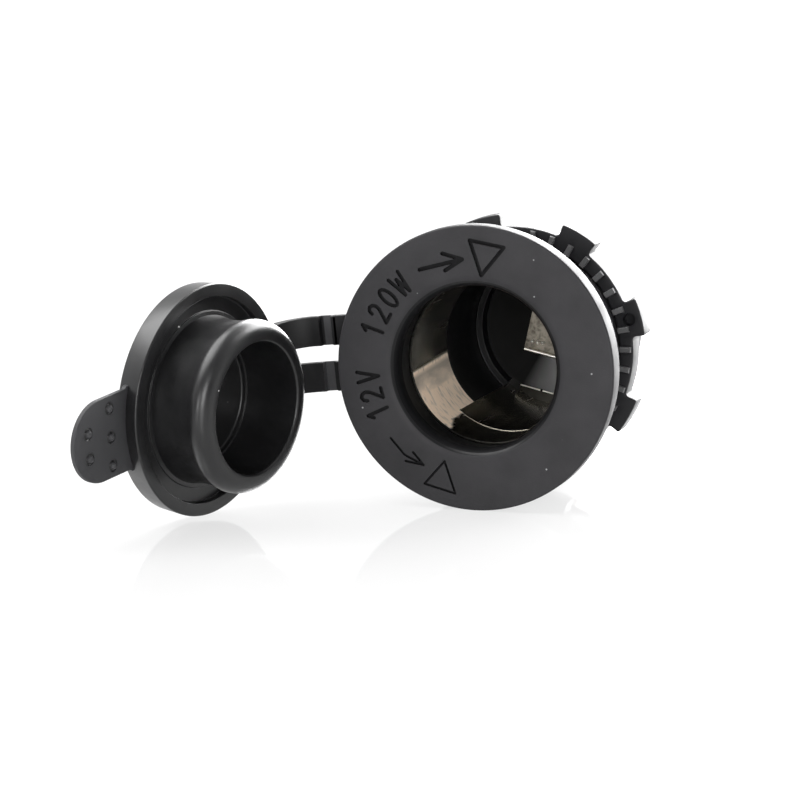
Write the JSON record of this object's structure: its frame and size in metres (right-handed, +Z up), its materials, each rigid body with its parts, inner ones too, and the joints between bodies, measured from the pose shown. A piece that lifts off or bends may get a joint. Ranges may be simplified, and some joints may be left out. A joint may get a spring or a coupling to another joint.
{
  "type": "car power socket",
  "caption": "Panel-mount 12 V vehicle power socket with a flanged threaded barrel, castellated ring nut and a strap-hung rubber cap that plugs the bore.",
  "frame": {"origin": "on the bore's axis, in the plane of the panel's front face, where the gasket ring seats", "axes": "+Y along the bore into the panel, towards the terminals; +Z up; +X to the right seen from the front"},
  "size_m": [0.0583, 0.0891, 0.037],
  "materials": {
    "housing_plastic": "fine-textured black",
    "nut_plastic": "smooth black",
    "soft_rubber": "satin black",
    "plated_contact": "nickel plated",
    "brass_terminal": "bare"
  },
  "bodies": {
    "socket": {"housing": "housing_plastic", "contact_sleeve": "plated_contact", "centre_contact": "plated_contact", "centre_rivet": "brass_terminal", "positive_terminal": "brass_terminal", "gasket_ring": "soft_rubber", "upper_strap": "soft_rubber", "lower_strap": "soft_rubber"},
    "cap": {"cap": "soft_rubber"},
    "nut": {"ring_nut": "nut_plastic"}
  },
  "joints": [
    {"name": "cap_hinge", "type": "hinge", "parent": "socket", "child": "cap", "pos_m": [-0.02076, -0.0002, -0.00137], "axis": [-0.0621, -0.0804, 0.9948], "range_deg": [-18, 106.9], "stiffness_Nm_per_rad": 0.003, "deforming": ["upper_strap", "lower_strap"]},
    {"name": "nut_travel", "type": "slide", "parent": "socket", "child": "nut", "axis": [0, 1, 0], "range_m": [-0.0129, 0.0342]}
  ]
}
